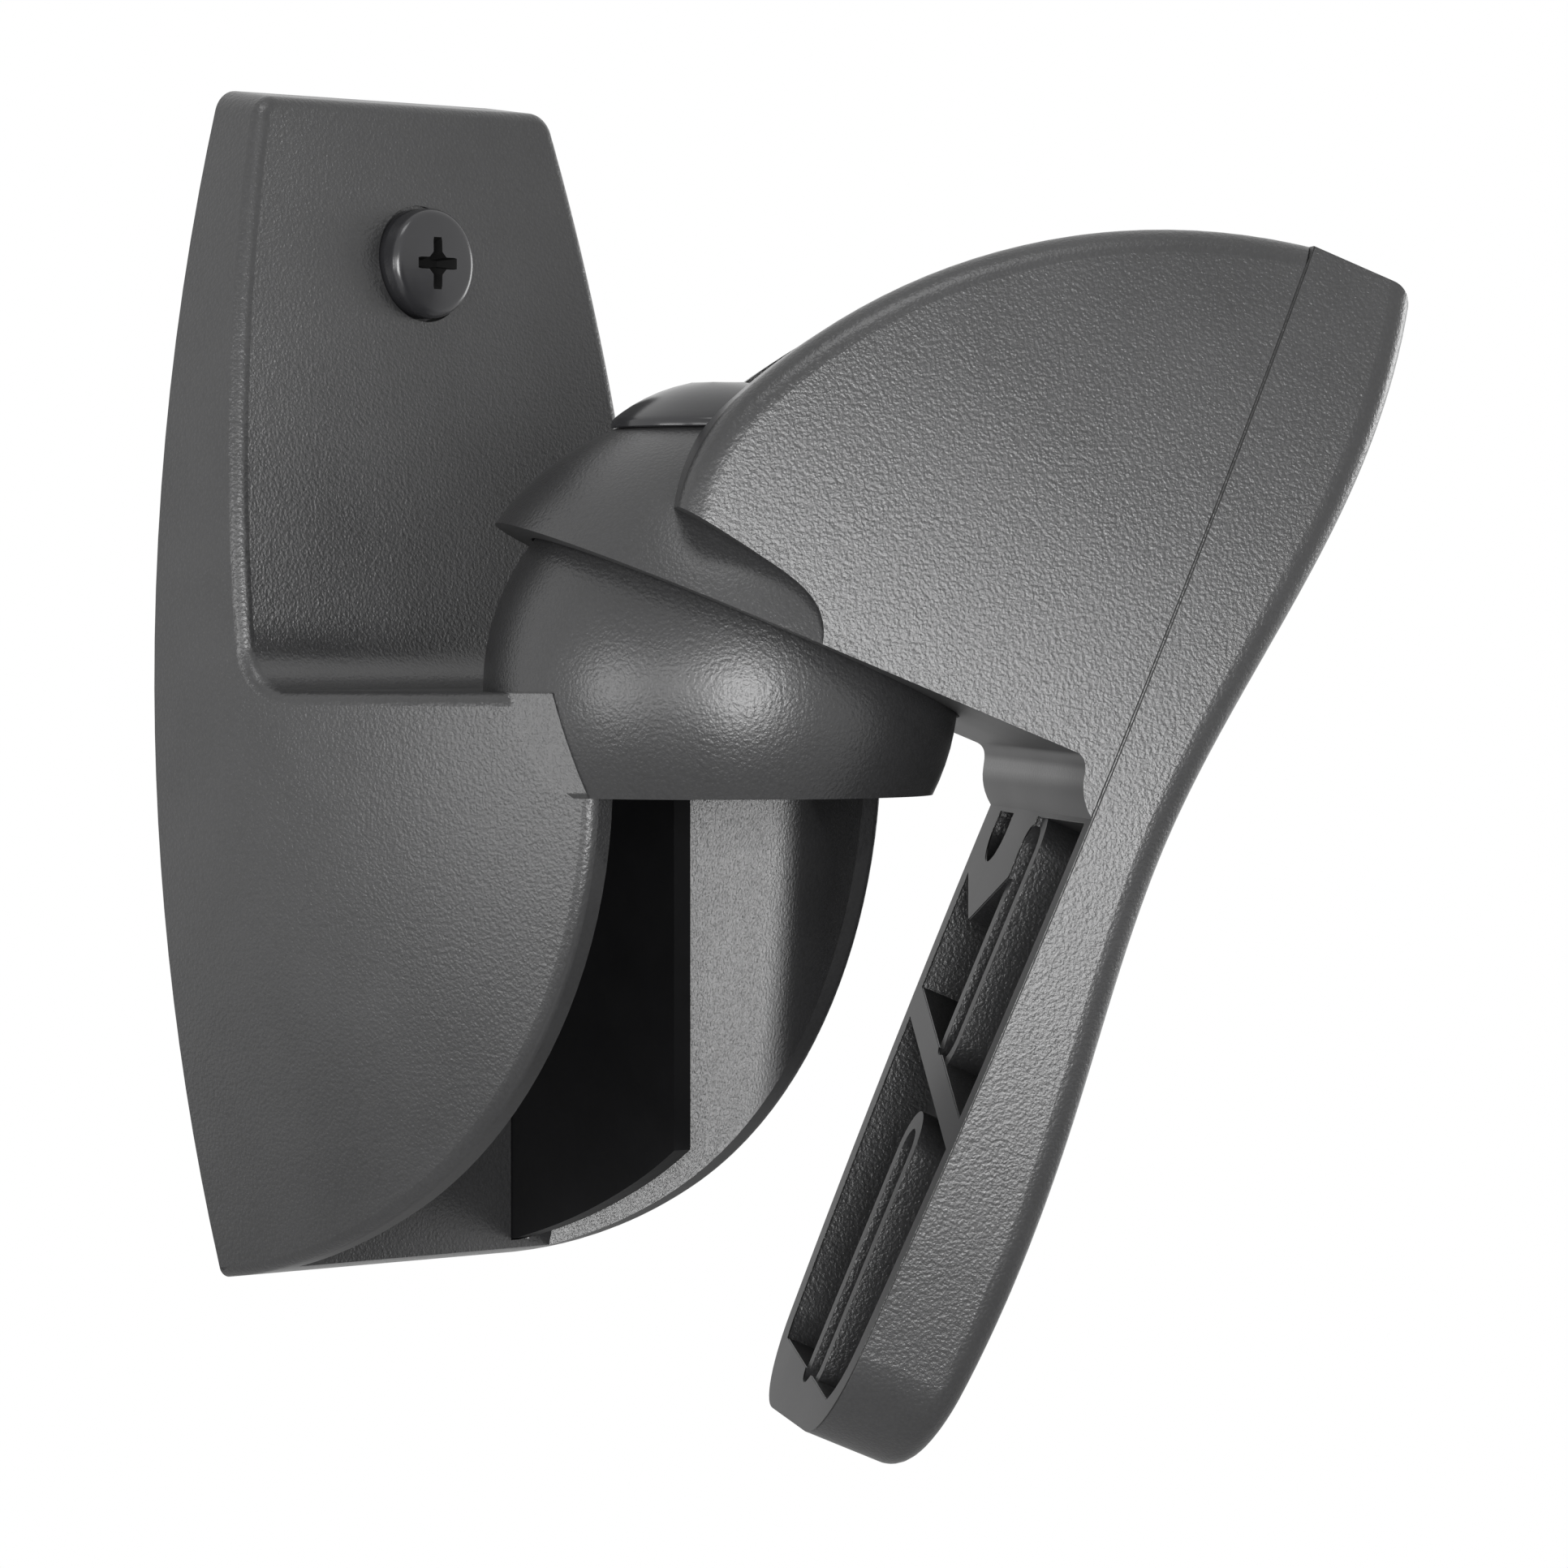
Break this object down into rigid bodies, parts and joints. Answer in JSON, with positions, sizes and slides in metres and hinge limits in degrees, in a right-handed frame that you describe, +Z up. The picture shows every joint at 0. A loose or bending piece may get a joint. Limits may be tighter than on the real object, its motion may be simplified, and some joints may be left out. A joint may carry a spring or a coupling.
{
  "type": "speaker wall bracket",
  "caption": "Swivel and tilt wall bracket for a loudspeaker: bowed wall housing with a ball, clamped cap and fan-shaped arm carrying a long slotted speaker plate.",
  "frame": {"origin": "on the wall plane, on the housing's centre line, level with the centre of the ball", "axes": "+Y into the wall, -Y towards the room, +Z up"},
  "size_m": [0.0978, 0.1133, 0.1452],
  "materials": {
    "grained_plastic": "fine leather-like grain",
    "black_steel": "smooth black paint",
    "gloss_black": "gloss black",
    "plated_steel": "zinc plated",
    "nylon": "natural nylon"
  },
  "bodies": {
    "wall_half": {"wall_housing": "grained_plastic", "wall_bracket": "black_steel", "housing_screw": "gloss_black", "clamp_nut": "plated_steel"},
    "swivel": {"slot_bush": "nylon"},
    "speaker_half": {"arm_shell": "grained_plastic", "speaker_plate": "grained_plastic", "plate_screws": "plated_steel"},
    "clamp": {"clamp_bolt": "gloss_black"}
  },
  "joints": [
    {"name": "swivel_turn", "type": "hinge", "parent": "wall_half", "child": "swivel", "pos_m": [0, -0.0555, 0], "axis": [0, 0, 1], "range_deg": [-113, 7]},
    {"name": "tilt", "type": "hinge", "parent": "swivel", "child": "speaker_half", "pos_m": [0, -0.0555, 0], "axis": [0.6018, 0.7986, 0], "range_deg": [-30.8, 1.2]},
    {"name": "clamp_turn", "type": "hinge", "parent": "wall_half", "child": "clamp", "pos_m": [0, -0.0555, 0], "axis": [0, 0, 1], "range_deg": [0, 180]}
  ]
}
